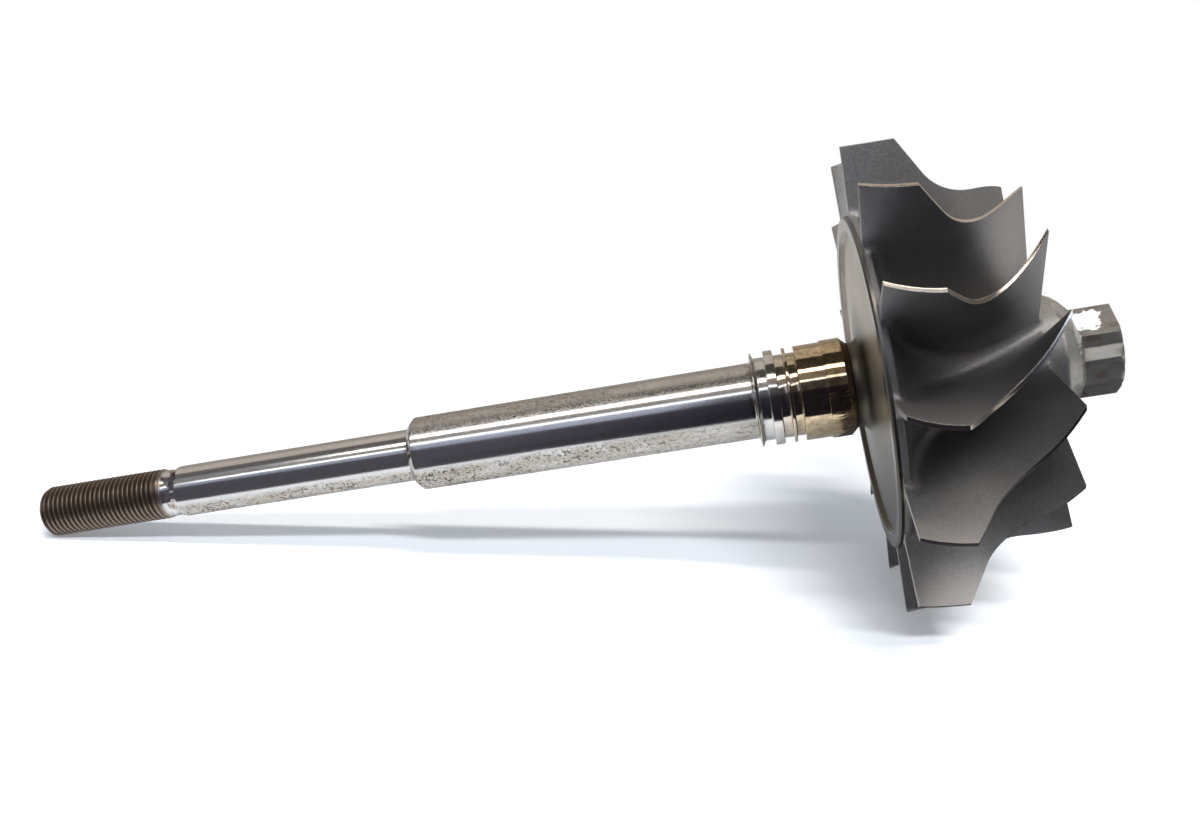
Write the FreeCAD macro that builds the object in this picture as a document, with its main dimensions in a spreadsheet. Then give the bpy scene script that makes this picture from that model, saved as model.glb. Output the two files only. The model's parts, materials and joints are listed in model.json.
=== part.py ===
import FreeCAD, Part
import os
import Sketcher

# Turbocharger turbine rotor: a cast wheel friction-welded to a ground steel shaft.
# Lengths are millimetres, angles degrees. Each piece is drawn along its own X axis, which is the axis of
# rotation, and then laid down as the rotor comes to rest: on the rim of its threaded end and on the
# corners of two neighbouring blades. +X runs towards the wheel's nose, +Z is up.

doc = FreeCAD.newDocument("turbine_rotor")

DIMENSIONS = [
    # Wheel, along the axis from the weld plane
    ("boss_radius", 8.95, "boss behind the disc"),
    ("boss_length", 3.5, "weld plane to the boss's chamfer"),
    ("boss_chamfer", 1.3, "slope from the boss down to the neck"),
    ("neck_radius", 7.7, "neck between boss and disc"),
    ("neck_fillet", 1.7, "round from the neck into the disc's back"),
    ("disc_station", 7.3, "weld plane to the disc's back face"),
    ("disc_radius", 30.1, "outside of the disc's rim"),
    ("rim_chamfer", 0.35, "edge of the rim"),
    ("rim_thickness", 2.0, "rim at its outer edge"),
    ("recess_radius", 27.6, "inside of the machined band"),
    ("recess_depth", 0.9, "floor of the recess at the band"),
    ("recess_rise", 1.4, "how far the floor rises towards the neck"),
    ("hub_curve", 21.8, "concave curve from the rim to the hub"),
    ("hub_radius", 10.45, "hub at the exducer"),
    ("hub_length", 32.35, "disc's back face to the end of the hub"),
    ("nose_cone", 2.95, "cone from the hub down to the drive"),
    ("drive_radius", 8.8, "ridges of the 12-point drive"),
    ("drive_length", 6.75, "12-point drive along the axis"),
    ("drive_chamfer", 0.7, "end of the drive"),
    ("drive_points", 12, "ridges"),
    # Blades
    ("blade_count", 13, "blades"),
    ("blade_back", 0.85, "disc's back face to the blades' back edge"),
    ("tip_radius", 42.2, "inducer tip"),
    ("inducer_width", 8.7, "tip along the axis"),
    ("shroud_slope", 58.3, "straight part of the shroud line, against the axis"),
    ("shroud_curve", 10.5, "radius of the shroud line's curved part"),
    ("exducer_radius", 30.9, "exducer tip"),
    ("blade_length", 28.0, "back edge to trailing edge"),
    ("tip_thickness", 0.72, "blade just outside the shroud line"),
    ("root_thickness", 2.7, "blade at its root"),
    ("inducer_lean", 3.95, "lean of the blade over the lean length"),
    ("lean_length", 11.0, "where the lean has run out"),
    ("turn_start", 11.5, "where the exducer starts to turn"),
    ("exducer_turn", 23.0, "turn at the trailing edge"),
    ("turn_power", 1.9, "how late the turn comes"),
    # Balance grinding on the nose
    ("grind_top_angle", 15, "first flat, from the vertical, towards the far side"),
    ("grind_top_height", 7.0, "first flat above the axis"),
    ("grind_side_angle", 30, "second flat, from the vertical, towards the near side"),
    ("grind_side_height", 7.45, "second flat above the axis"),
    ("grind_runout", 3.8, "slope at the start of both flats"),
    # Shaft, from the weld plane towards the thread
    ("land_radius", 8.7, "seal lands and front part of the boss"),
    ("land_length", 4.7, "front part of the boss"),
    ("groove_radius", 7.65, "floor of the seal-ring grooves"),
    ("rear_groove", 1.5, "width of the groove beside the boss"),
    ("thin_land", 0.6, "land between the rear and middle grooves"),
    ("middle_groove", 1.65, "width of the middle groove"),
    ("wide_land", 1.7, "land between the middle and front grooves"),
    ("front_groove", 1.75, "width of the groove beside the slinger"),
    ("slinger_radius", 8.7, "edge of the oil slinger lip"),
    ("slinger_back", 0.5, "slope of the lip beside its groove"),
    ("slinger_edge", 0.2, "lip at its edge"),
    ("slinger_flank", 0.3, "slope of the lip beside the journal"),
    ("journal_radius", 7.0, "bearing journal"),
    ("journal_length", 65.0, "bearing journal with its chamfer"),
    ("journal_chamfer", 1.1, "chamfer at the shoulder"),
    ("stub_radius", 5.0, "compressor stub"),
    ("stub_length", 47.7, "compressor stub"),
    ("stub_slope", 1.2, "slope from the relief to the stub"),
    ("relief_radius", 4.6, "floor of the thread relief"),
    ("relief_width", 1.6, "floor of the thread relief"),
    ("thread_slope", 1.2, "slope from the thread to the relief"),
    ("thread_radius", 4.95, "major radius of the thread"),
    ("thread_length", 25.2, "thread with its end chamfer"),
    ("thread_chamfer", 0.75, "end of the thread"),
]

# Stations and angles worked out from the sizes, used by more than one outline
BACK = "(dims.disc_station + dims.blade_back)"
INDUCER_END = "(dims.disc_station + dims.blade_back + dims.inducer_width)"
HUB_END = "(dims.disc_station + dims.hub_length)"
DRIVE_START = "(dims.disc_station + dims.hub_length + dims.nose_cone)"
DRIVE_END = "(dims.disc_station + dims.hub_length + dims.nose_cone + dims.drive_length)"
RECESS_FLOOR = "(dims.disc_station + dims.recess_depth)"
NECK_FLOOR = "(dims.disc_station + dims.recess_depth - dims.recess_rise)"
RECESS_EDGE = "(dims.recess_radius - dims.recess_depth / 2)"
SLOPE = "(dims.shroud_slope * 1 deg)"
SLOPE_LENGTH = "((dims.tip_radius - dims.exducer_radius) / tan(%s))" % SLOPE
SHROUD_END = "(dims.inducer_width + %s + dims.shroud_curve * tan(%s / 2))" % (SLOPE_LENGTH, SLOPE)
FLOOR_SLOPE = "atan(dims.recess_rise / (%s - dims.neck_radius))" % RECESS_EDGE
# A line's two ends and the sketch's origin, as the sketcher numbers them
LINE_START = 1
LINE_END = 2
ORIGIN_POINT = (-1, 1)
# How finely curves are cut into straight pieces
BLADE_SECTIONS = 8
HUB_CHORDS = 6
SHROUD_CHORDS = 4
NECK_CHORDS = 3


def make_sheet():
    """Put every driving dimension in a cell of its own, named by its alias."""
    sheet = doc.addObject("Spreadsheet::Sheet", "dims")
    for row, (alias, value, note) in enumerate(DIMENSIONS, start=1):
        sheet.set("A%d" % row, alias)
        sheet.set("B%d" % row, str(value))
        sheet.set("C%d" % row, note)
        sheet.setAlias("B%d" % row, alias)
    doc.recompute()
    return sheet


def new_body(name):
    body = doc.addObject("PartDesign::Body", name)
    body.Label = name
    return body


def origin_plane(body, role):
    return [item for item in body.Origin.OriginFeatures if item.Role == role][0]


def new_sketch(body, name, role):
    sketch = body.newObject("Sketcher::SketchObject", name)
    sketch.AttachmentSupport = [(origin_plane(body, role), "")]
    sketch.MapMode = "FlatFace"
    return sketch


def number(sketch, expression):
    """The present value of an expression, to draw a shape where its constraints will hold it."""
    return float(sketch.evalExpression(expression))


def draw_outline(sketch, corners):
    """Draw a closed outline through corners, given as pairs of expressions."""
    points = [FreeCAD.Vector(number(sketch, x), number(sketch, y), 0) for x, y in corners]
    for start, end in zip(points, points[1:] + points[:1]):
        sketch.addGeometry(Part.LineSegment(start, end), False)
    for edge in range(len(points)):
        following = (edge + 1) % len(points)
        sketch.addConstraint(Sketcher.Constraint("Coincident", edge, LINE_END, following, LINE_START))
    for edge, corner in enumerate(corners):
        hold_start(sketch, edge, corner)


def hold_start(sketch, edge, corner):
    """Tie a line's start to its distances from the sketch's origin."""
    for kind, expression in zip(("DistanceX", "DistanceY"), corner):
        value = number(sketch, expression)
        constraint = Sketcher.Constraint(kind, *ORIGIN_POINT, edge, LINE_START, value)
        index = sketch.addConstraint(constraint)
        sketch.setExpression("Constraints[%d]" % index, expression)


def offset_sketch(sketch, axis, angle, distance):
    """Turn a sketch about an axis of its plane and move it out along the plane's normal."""
    sketch.AttachmentOffset = FreeCAD.Placement(FreeCAD.Vector(), FreeCAD.Rotation(axis, 1))
    sketch.setExpression(".AttachmentOffset.Rotation.Angle", angle)
    sketch.setExpression(".AttachmentOffset.Base.z", distance)


def turn(body, name, sketch, kind):
    """Revolve a sketch a full turn about the axis, to add or to cut."""
    feature = body.newObject(kind, name)
    feature.Profile = sketch
    feature.ReferenceAxis = (sketch, ["H_Axis"])
    feature.Angle = 360
    return feature


def pattern(body, name, feature, count):
    """Repeat a feature evenly round the axis."""
    polar = body.newObject("PartDesign::PolarPattern", name)
    polar.Originals = [feature]
    polar.Axis = (axis_line(body), [""])
    polar.Angle = 360
    polar.setExpression("Occurrences", count)
    body.Tip = polar
    return polar


def axis_line(body):
    return [item for item in body.Origin.OriginFeatures if item.Role == "X_Axis"][0]


def neck_round():
    """Corners of the round from the neck into the floor of the recess, in even chords."""
    centre = "(%s + dims.neck_fillet * (tan(%s) - 1 / cos(%s)))" % (NECK_FLOOR, FLOOR_SLOPE, FLOOR_SLOPE)
    corners = []
    for step in range(NECK_CHORDS + 1):
        angle = "((90 deg - %s) * %d / %d)" % (FLOOR_SLOPE, step, NECK_CHORDS)
        station = "(%s + dims.neck_fillet * sin(%s))" % (centre, angle)
        corners.append((station, "(dims.neck_radius + dims.neck_fillet * (1 - cos(%s)))" % angle))
    return corners


def make_hub(body):
    """Boss, neck, disc, hub and nose as one turned blank, the hub's curve in even chords."""
    rim_front = "(dims.disc_station + dims.rim_thickness)"
    drop = "(dims.hub_radius + dims.hub_curve - dims.disc_radius)"
    curve_end = "(%s + sqrt(dims.hub_curve^2 - %s^2))" % (rim_front, drop)
    neck_start = "(dims.boss_length + dims.boss_chamfer)"
    curve_centre = "(dims.hub_radius + dims.hub_curve)"
    chords = []
    for step in range(HUB_CHORDS):
        angle = "(acos(%s / dims.hub_curve) * %d / %d)" % (drop, HUB_CHORDS - step, HUB_CHORDS)
        station = "(%s - dims.hub_curve * sin(%s))" % (curve_end, angle)
        chords.append((station, "(%s - dims.hub_curve * cos(%s))" % (curve_centre, angle)))
    corners = [
        ("0", "0"),
        ("0", "dims.boss_radius"),
        ("dims.boss_length", "dims.boss_radius"),
        (neck_start, "dims.neck_radius"),
        *neck_round(),
        ("dims.disc_station", "dims.recess_radius"),
        ("dims.disc_station", "(dims.disc_radius - dims.rim_chamfer)"),
        ("(dims.disc_station + dims.rim_chamfer)", "dims.disc_radius"),
        *chords,
        (curve_end, "dims.hub_radius"),
        (HUB_END, "dims.hub_radius"),
        (DRIVE_START, "dims.drive_radius"),
        ("(%s - dims.drive_chamfer)" % DRIVE_END, "dims.drive_radius"),
        (DRIVE_END, "(dims.drive_radius - dims.drive_chamfer)"),
        (DRIVE_END, "0"),
    ]
    sketch = new_sketch(body, "hub_outline", "XZ_Plane")
    draw_outline(sketch, corners)
    turn(body, "hub_blank", sketch, "PartDesign::Revolution")


def blade_angle(station):
    """The blade's angle about the axis at a station, in degrees: its lean, then the exducer's turn."""
    lean = "dims.inducer_lean * (1 - (1 - min(1; (%s) / dims.lean_length))^2)" % station
    reach = "max(0; ((%s) - dims.turn_start) / (dims.blade_length - dims.turn_start))" % station
    return "%s - dims.exducer_turn * (%s)^dims.turn_power" % (lean, reach)


def shroud_radius(station):
    """Radius of the shroud line at a station from the blades' back edge."""
    before_end = "max(0; %s - (%s))" % (SHROUD_END, station)
    curve_reach = "(dims.shroud_curve * sin(%s))" % SLOPE
    in_curve = "min(%s; %s)" % (before_end, curve_reach)
    in_slope = "max(0; %s - %s)" % (before_end, curve_reach)
    curve = "(dims.exducer_radius + dims.shroud_curve - sqrt(dims.shroud_curve^2 - (%s)^2))" % in_curve
    return "min(dims.tip_radius; %s + %s * tan(%s))" % (curve, in_slope, SLOPE)


def make_blade(body):
    """One blade with radial fibres: tapered sections, turned to the blade's angle, in a ruled loft.

    The sections are rooted inside the hub and stand past the shroud line, which is turned afterwards.
    """
    inner = "(dims.hub_radius - dims.root_thickness)"
    root = "(dims.root_thickness / 2)"
    tip = "(dims.tip_thickness / 2)"
    sections = []
    for step in range(BLADE_SECTIONS):
        station = "dims.blade_length * %d / %d" % (step, BLADE_SECTIONS - 1)
        outer = "(%s + 2 * dims.tip_thickness)" % shroud_radius(station)
        corners = [("-" + root, inner), (root, inner), (tip, outer), ("-" + tip, outer)]
        sketch = new_sketch(body, "blade_section_%d" % step, "YZ_Plane")
        draw_outline(sketch, corners)
        offset_sketch(sketch, FreeCAD.Vector(0, 0, 1), blade_angle(station), "%s + %s" % (BACK, station))
        sections.append(sketch)
    doc.recompute()
    blade = body.newObject("PartDesign::AdditiveLoft", "blade")
    blade.Profile = sections[0]
    blade.Sections = sections[1:]
    blade.Ruled = True
    doc.recompute()
    return blade


def cut_shroud(body):
    """Turn every blade's outer edge to the shroud line: tip, straight slope, curve in chords, exducer."""
    clear = "(dims.tip_radius + 3 * dims.tip_thickness)"
    behind = "(%s - dims.tip_thickness)" % BACK
    ahead = "(%s + dims.blade_length + dims.tip_thickness)" % BACK
    curve_end = "(%s + %s)" % (BACK, SHROUD_END)
    chords = []
    for step in range(SHROUD_CHORDS):
        angle = "(%s * %d / %d)" % (SLOPE, SHROUD_CHORDS - step, SHROUD_CHORDS)
        station = "(%s - dims.shroud_curve * sin(%s))" % (curve_end, angle)
        chords.append((station, "(dims.exducer_radius + dims.shroud_curve * (1 - cos(%s)))" % angle))
    corners = [
        (behind, "dims.tip_radius"),
        (INDUCER_END, "dims.tip_radius"),
        *chords,
        (curve_end, "dims.exducer_radius"),
        (ahead, "dims.exducer_radius"),
        (ahead, clear),
        (behind, clear),
    ]
    sketch = new_sketch(body, "shroud_line", "XZ_Plane")
    draw_outline(sketch, corners)
    turn(body, "shroud_turning", sketch, "PartDesign::Groove")


def cut_recess(body):
    """Turn the shallow recess inside the machined band on the disc's back."""
    behind = "(dims.disc_station - dims.recess_rise)"
    inner = neck_round()[-1]
    corners = [
        ("dims.disc_station", "dims.recess_radius"),
        (RECESS_FLOOR, RECESS_EDGE),
        inner,
        (behind, inner[1]),
        (behind, "dims.recess_radius"),
    ]
    sketch = new_sketch(body, "recess_outline", "XZ_Plane")
    draw_outline(sketch, corners)
    turn(body, "recess", sketch, "PartDesign::Groove")


def cut_drive(body):
    """Cut the notches between the ridges of the 12-point drive, and repeat them round the nose."""
    half = "(180 deg / dims.drive_points)"
    valley = "(dims.drive_radius * cos(2 * %s) / cos(%s))" % (half, half)
    ridge_side = "(dims.drive_radius * sin(%s))" % half
    ridge_up = "(dims.drive_radius * cos(%s))" % half
    clear = "(dims.drive_radius + dims.drive_chamfer)"
    corners = [
        ("0", valley),
        (ridge_side, ridge_up),
        (ridge_side, clear),
        ("-" + ridge_side, clear),
        ("-" + ridge_side, ridge_up),
    ]
    sketch = new_sketch(body, "notch_outline", "YZ_Plane")
    draw_outline(sketch, corners)
    offset_sketch(sketch, FreeCAD.Vector(0, 0, 1), "180 / dims.drive_points", DRIVE_END)
    doc.recompute()
    notch = body.newObject("PartDesign::Pocket", "notch")
    notch.Profile = sketch
    notch.Type = "Length"
    notch.setExpression("Length", "dims.drive_length")
    doc.recompute()
    pattern(body, "drive_notches", notch, "dims.drive_points")


def grind_flat(body, name, angle, height):
    """Grind a flat on the nose, with a slope where the wheel ran in, at an angle from the vertical."""
    run_in = "(%s - dims.grind_runout)" % DRIVE_START
    run_out = "(%s + dims.drive_chamfer)" % DRIVE_END
    clear = "(%s + 2 * dims.grind_runout)" % height
    corners = [
        (run_in, "(%s + dims.grind_runout)" % height),
        (DRIVE_START, height),
        (run_out, height),
        (run_out, clear),
        (run_in, clear),
    ]
    sketch = new_sketch(body, name + "_outline", "XZ_Plane")
    draw_outline(sketch, corners)
    offset_sketch(sketch, FreeCAD.Vector(1, 0, 0), angle, "0")
    doc.recompute()
    flat = body.newObject("PartDesign::Pocket", name)
    flat.Profile = sketch
    flat.Type = "Length"
    flat.Midplane = True
    flat.setExpression("Length", "2 * dims.hub_radius")
    doc.recompute()


def make_wheel():
    body = new_body("turbine_wheel")
    make_hub(body)
    blade = make_blade(body)
    pattern(body, "blades", blade, "dims.blade_count")
    cut_shroud(body)
    cut_recess(body)
    cut_drive(body)
    grind_flat(body, "top_flat", "-dims.grind_top_angle", "dims.grind_top_height")
    grind_flat(body, "side_flat", "dims.grind_side_angle", "dims.grind_side_height")
    return body


def make_shaft():
    """The whole bar is turned from one outline, listed from the threaded end."""
    body = new_body("shaft")
    lengths = ["dims.thread_length", "dims.thread_slope", "dims.relief_width", "dims.stub_slope"]
    lengths += ["dims.stub_length", "dims.journal_length", "dims.slinger_flank", "dims.slinger_edge"]
    lengths += ["dims.slinger_back", "dims.front_groove", "dims.wide_land", "dims.middle_groove"]
    lengths += ["dims.thin_land", "dims.rear_groove", "dims.land_length"]
    stations = ["(" + " + ".join(lengths[: place + 1]) + ")" for place in range(len(lengths))]
    (thread_end, relief_start, relief_end, stub_start, shoulder, flank, lip, lip_end) = stations[:8]
    (back_end, front_end, wide_end, middle_end, thin_end, rear_end, weld) = stations[8:]
    corners = [
        ("0", "0"),
        ("0", "(dims.thread_radius - dims.thread_chamfer)"),
        ("dims.thread_chamfer", "dims.thread_radius"),
        (thread_end, "dims.thread_radius"),
        (relief_start, "dims.relief_radius"),
        (relief_end, "dims.relief_radius"),
        (stub_start, "dims.stub_radius"),
        (shoulder, "dims.stub_radius"),
        (shoulder, "(dims.journal_radius - dims.journal_chamfer)"),
        ("(%s + dims.journal_chamfer)" % shoulder, "dims.journal_radius"),
        (flank, "dims.journal_radius"),
        (lip, "dims.slinger_radius"),
        (lip_end, "dims.slinger_radius"),
        (back_end, "dims.groove_radius"),
        (front_end, "dims.groove_radius"),
        (front_end, "dims.land_radius"),
        (wide_end, "dims.land_radius"),
        (wide_end, "dims.groove_radius"),
        (middle_end, "dims.groove_radius"),
        (middle_end, "dims.land_radius"),
        (thin_end, "dims.land_radius"),
        (thin_end, "dims.groove_radius"),
        (rear_end, "dims.groove_radius"),
        (rear_end, "dims.land_radius"),
        (weld, "dims.land_radius"),
        (weld, "0"),
    ]
    sketch = new_sketch(body, "shaft_outline", "XZ_Plane")
    draw_outline(sketch, corners)
    turn(body, "shaft_turning", sketch, "PartDesign::Revolution")
    return body, weld


def lay_down(body, start, shaft_length):
    """Tilt a piece so that thread rim and blade corners meet the floor, with X centred on the rotor."""
    drop = "(dims.tip_radius * cos(180 deg / dims.blade_count) - dims.thread_radius)"
    reach = "(%s + %s - dims.thread_chamfer)" % (shaft_length, BACK)
    tilt = "atan(%s / %s)" % (drop, reach)
    floor = "(dims.thread_radius * cos(%s) - dims.thread_chamfer * sin(%s))" % (tilt, tilt)
    middle = "((%s + %s) / 2)" % (shaft_length, DRIVE_END)
    body.Placement = FreeCAD.Placement(FreeCAD.Vector(), FreeCAD.Rotation(FreeCAD.Vector(0, -1, 0), 1))
    body.setExpression(".Placement.Rotation.Angle", tilt)
    body.setExpression(".Placement.Base.x", "(%s - %s) * cos(%s)" % (start, middle, tilt))
    body.setExpression(".Placement.Base.z", "%s + %s * sin(%s)" % (floor, start, tilt))


def check(bodies):
    """Stop if any feature failed or any piece isn't one valid solid."""
    for item in doc.Objects:
        if "Invalid" in item.State or "Error" in item.State:
            raise RuntimeError("%s failed" % item.Name)
    for body in bodies:
        shape = body.Shape
        if shape.isNull() or not shape.isValid() or len(shape.Solids) != 1:
            raise RuntimeError("%s is not one valid solid" % body.Label)


make_sheet()
wheel = make_wheel()
shaft, shaft_length = make_shaft()
lay_down(shaft, "0", shaft_length)
lay_down(wheel, shaft_length, shaft_length)
doc.recompute()
check([wheel, shaft])
os.makedirs("parts", exist_ok=True)
for piece in (wheel, shaft):
    piece.Shape.exportStep("parts/%s.step" % piece.Label)
    box = piece.Shape.BoundBox
    print(piece.Label, "volume", round(piece.Shape.Volume, 1), "box", box)
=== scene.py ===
import json
import math

import bmesh
import bpy
from mathutils import Euler, Matrix, Vector


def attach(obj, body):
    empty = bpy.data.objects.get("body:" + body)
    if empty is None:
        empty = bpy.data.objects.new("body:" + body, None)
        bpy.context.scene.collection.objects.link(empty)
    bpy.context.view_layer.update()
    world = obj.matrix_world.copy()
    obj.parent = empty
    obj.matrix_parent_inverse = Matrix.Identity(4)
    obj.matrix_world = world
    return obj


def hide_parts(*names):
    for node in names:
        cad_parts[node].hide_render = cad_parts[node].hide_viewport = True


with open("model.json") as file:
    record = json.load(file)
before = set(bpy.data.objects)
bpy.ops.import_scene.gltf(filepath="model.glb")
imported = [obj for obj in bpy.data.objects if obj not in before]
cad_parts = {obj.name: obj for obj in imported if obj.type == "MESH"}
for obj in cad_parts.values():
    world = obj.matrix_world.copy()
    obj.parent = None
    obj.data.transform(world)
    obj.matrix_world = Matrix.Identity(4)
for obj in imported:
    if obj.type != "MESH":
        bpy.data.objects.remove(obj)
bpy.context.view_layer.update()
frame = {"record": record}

# A turbine wheel and its shaft. Lengths are millimetres in the rotor's own frame until a piece is made:
# x runs along the axis from the face of the threaded end, and angles turn about it from the far side.
MM = 0.001
MOUNTS = {mount["name"]: mount for mount in frame["record"]["mounts"]}

# Shaft, from the threaded end
THREAD_RADIUS = MOUNTS["thread"]["dims"]["r_mm"]
THREAD_CHAMFER = 0.75
THREAD_LENGTH = MOUNTS["thread"]["dims"]["length_mm"] + THREAD_CHAMFER
THREAD_PITCH = 1.0
THREAD_DEPTH = 0.61
THREAD_FADE = 1.3
THREAD_SLOPE = 1.2
RELIEF_RADIUS = 4.6
RELIEF_WIDTH = 1.6
STUB_SLOPE = 1.2
STUB_RADIUS = MOUNTS["compressor_stub"]["dims"]["r_mm"]
STUB_LENGTH = MOUNTS["compressor_stub"]["dims"]["length_mm"]
JOURNAL_RADIUS = MOUNTS["bearing_journal"]["dims"]["r_mm"]
JOURNAL_CHAMFER = 1.1
JOURNAL_LENGTH = MOUNTS["bearing_journal"]["dims"]["length_mm"] + JOURNAL_CHAMFER
SLINGER_RADIUS = 8.7
SLINGER_FLANK = 0.3
SLINGER_EDGE = 0.2
SLINGER_BACK = 0.5
GROOVE_RADIUS = 7.65
FRONT_GROOVE = 1.75
WIDE_LAND = 1.7
MIDDLE_GROOVE = 1.65
THIN_LAND = 0.6
REAR_GROOVE = 1.5
LAND_RADIUS = MOUNTS["seal_boss"]["dims"]["r_mm"]
LAND_LENGTH = MOUNTS["seal_boss"]["dims"]["length_mm"]

# Wheel, from the weld plane
BOSS_RADIUS = 8.95
BOSS_LENGTH = 3.5
BOSS_CHAMFER = 1.3
NECK_RADIUS = 7.7
NECK_FILLET = 1.7
DISC_STATION = 7.3
DISC_RADIUS = 30.1
RIM_CHAMFER = 0.35
RIM_THICKNESS = 2.0
RIM_ROUND = 0.4
RECESS_RADIUS = 27.6
RECESS_DEPTH = 0.9
RECESS_RISE = 1.4
HUB_CURVE = 21.8
HUB_RADIUS = 10.45
HUB_LENGTH = 32.35
NOSE_CONE = 2.95
DRIVE_RADIUS = 8.8
DRIVE_LENGTH = 6.75
DRIVE_CHAMFER = 0.7
DRIVE_POINTS = 12
BLADES = 13
BLADE_BACK = 0.85
TIP_RADIUS = 42.2
INDUCER_WIDTH = 8.7
SHROUD_SLOPE = math.radians(58.3)
SHROUD_CURVE = 10.5
EXDUCER_RADIUS = 30.9
BLADE_LENGTH = 28.0
TIP_THICKNESS = 0.72
ROOT_THICKNESS = 2.7
INDUCER_LEAN = math.radians(3.95)
LEAN_LENGTH = 11.0
TURN_START = 11.5
EXDUCER_TURN = math.radians(23.0)
TURN_POWER = 1.9
ROOT_FILLET = 1.7
FILLET_SHARE = 0.42
DRIVE_BLEND = 0.7
FLATS = ((math.radians(75), 7.0), (math.radians(120), 7.45))

# Centre drillings in both ends: radius at the face, and radius and depth of the small hole
CENTRE_RADIUS = 1.5
CENTRE_HOLE = 0.7
CENTRE_DEPTH = 2.6

# Small rounds on the shaft's corners and on the wheel's edges
EDGE_ROUND = 0.14
WHEEL_BEVEL = 0.12
BEVEL_ANGLE = math.radians(38)
SHARP_ANGLE = math.radians(42)

# Stations along the axis
RELIEF_START = THREAD_LENGTH + THREAD_SLOPE
RELIEF_END = RELIEF_START + RELIEF_WIDTH
STUB_START = RELIEF_END + STUB_SLOPE
SHOULDER = STUB_START + STUB_LENGTH
JOURNAL_END = SHOULDER + JOURNAL_LENGTH
LIP_START = JOURNAL_END + SLINGER_FLANK
LIP_END = LIP_START + SLINGER_EDGE
GROOVE_START = LIP_END + SLINGER_BACK
WIDE_START = GROOVE_START + FRONT_GROOVE
WIDE_END = WIDE_START + WIDE_LAND
THIN_START = WIDE_END + MIDDLE_GROOVE
THIN_END = THIN_START + THIN_LAND
BOSS_START = THIN_END + REAR_GROOVE
WELD = BOSS_START + LAND_LENGTH
DISC = WELD + DISC_STATION
NOSE_START = DISC + HUB_LENGTH
DRIVE_START = NOSE_START + NOSE_CONE
NOSE_END = DRIVE_START + DRIVE_LENGTH

# Shroud line, from the blades' back edge
SHROUD_TANGENT = SHROUD_CURVE * math.tan(SHROUD_SLOPE / 2)
SHROUD_STRAIGHT = (TIP_RADIUS - EXDUCER_RADIUS) / math.sin(SHROUD_SLOPE) - SHROUD_TANGENT
SHROUD_END = INDUCER_WIDTH + (TIP_RADIUS - EXDUCER_RADIUS) / math.tan(SHROUD_SLOPE) + SHROUD_TANGENT

TURN = 2 * math.pi
SECTOR = TURN / BLADES
SHAFT_SEGMENTS = 144
NOSE_SEGMENTS = 288
SIDE_ROWS = 14
CURVE_ROWS = 26
FILLET_STEPS = 4
FLOOR_STEPS = 8
NECK_STEPS = 8
RECESS_STEPS = 8
MERGE_DISTANCE = 0.0008


def rotor_axes():
    """The rotor's start on the floor and its two directions, from the mount on its nose."""
    nose = MOUNTS["nose_drive"]
    along = Vector(nose["axis"]).normalized()
    start = Vector(nose["pos_m"]) - along * NOSE_END * MM
    return start, along


START, ALONG = rotor_axes()
TILT = math.atan2(ALONG.z, ALONG.x)
LAY_DOWN = Matrix.Translation(START) @ Euler((0, -TILT, 0)).to_matrix().to_4x4() @ Matrix.Scale(MM, 4)


class Skin:
    """Points and faces of one piece, in the rotor's own frame."""

    def __init__(self):
        self.points = []
        self.faces = []
        self.finishes = []

    def point(self, station, radius, angle):
        self.points.append((station, radius * math.cos(angle), radius * math.sin(angle)))
        return len(self.points) - 1

    def ring(self, station, radius, angles):
        return [self.point(station, radius, angle) for angle in angles]

    def face(self, corners, finish):
        """Add a face, leaving out corners that repeat."""
        distinct = []
        for corner in corners:
            if corner not in distinct:
                distinct.append(corner)
        if len(distinct) > 2:
            self.faces.append(distinct)
            self.finishes.append(finish)

    def strip(self, first, second, finish, closed=False):
        """Faces between two rows of as many points."""
        count = len(first)
        last = count if closed else count - 1
        for place in range(last):
            after = (place + 1) % count
            self.face((first[place], first[after], second[after], second[place]), finish)

    def cap(self, ring, station, finish):
        middle = self.point(station, 0.0, 0.0)
        for place, corner in enumerate(ring):
            self.face((corner, ring[(place + 1) % len(ring)], middle), finish)

    def drilled_cap(self, ring, station, inward, angles, finish):
        """A flat end with a 60 degree centre drilling: inward is 1 or -1 along the axis."""
        cone = (CENTRE_RADIUS - CENTRE_HOLE) * math.sqrt(3)
        outline = [(0.0, CENTRE_RADIUS), (cone, CENTRE_HOLE), (CENTRE_DEPTH, CENTRE_HOLE)]
        for depth, radius in outline:
            inner = self.ring(station + inward * depth, radius, angles)
            self.strip(ring, inner, finish, closed=True)
            ring = inner
        self.cap(ring, station + inward * (CENTRE_DEPTH + CENTRE_HOLE / 2), finish)

    def stitch(self, first, first_angles, second, second_angles, finish):
        """Join two closed rings of different point counts, both in order of angle."""
        near = 0
        far = 0
        while near < len(first) or far < len(second):
            near_next = first_angles[near % len(first)] + TURN * (near // len(first))
            far_next = second_angles[far % len(second)] + TURN * (far // len(second))
            a = first[near % len(first)]
            b = second[far % len(second)]
            if far == len(second) or (near < len(first) and near_next <= far_next):
                near += 1
                self.face((a, first[near % len(first)], b), finish)
            else:
                far += 1
                self.face((a, second[far % len(second)], b), finish)


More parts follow.
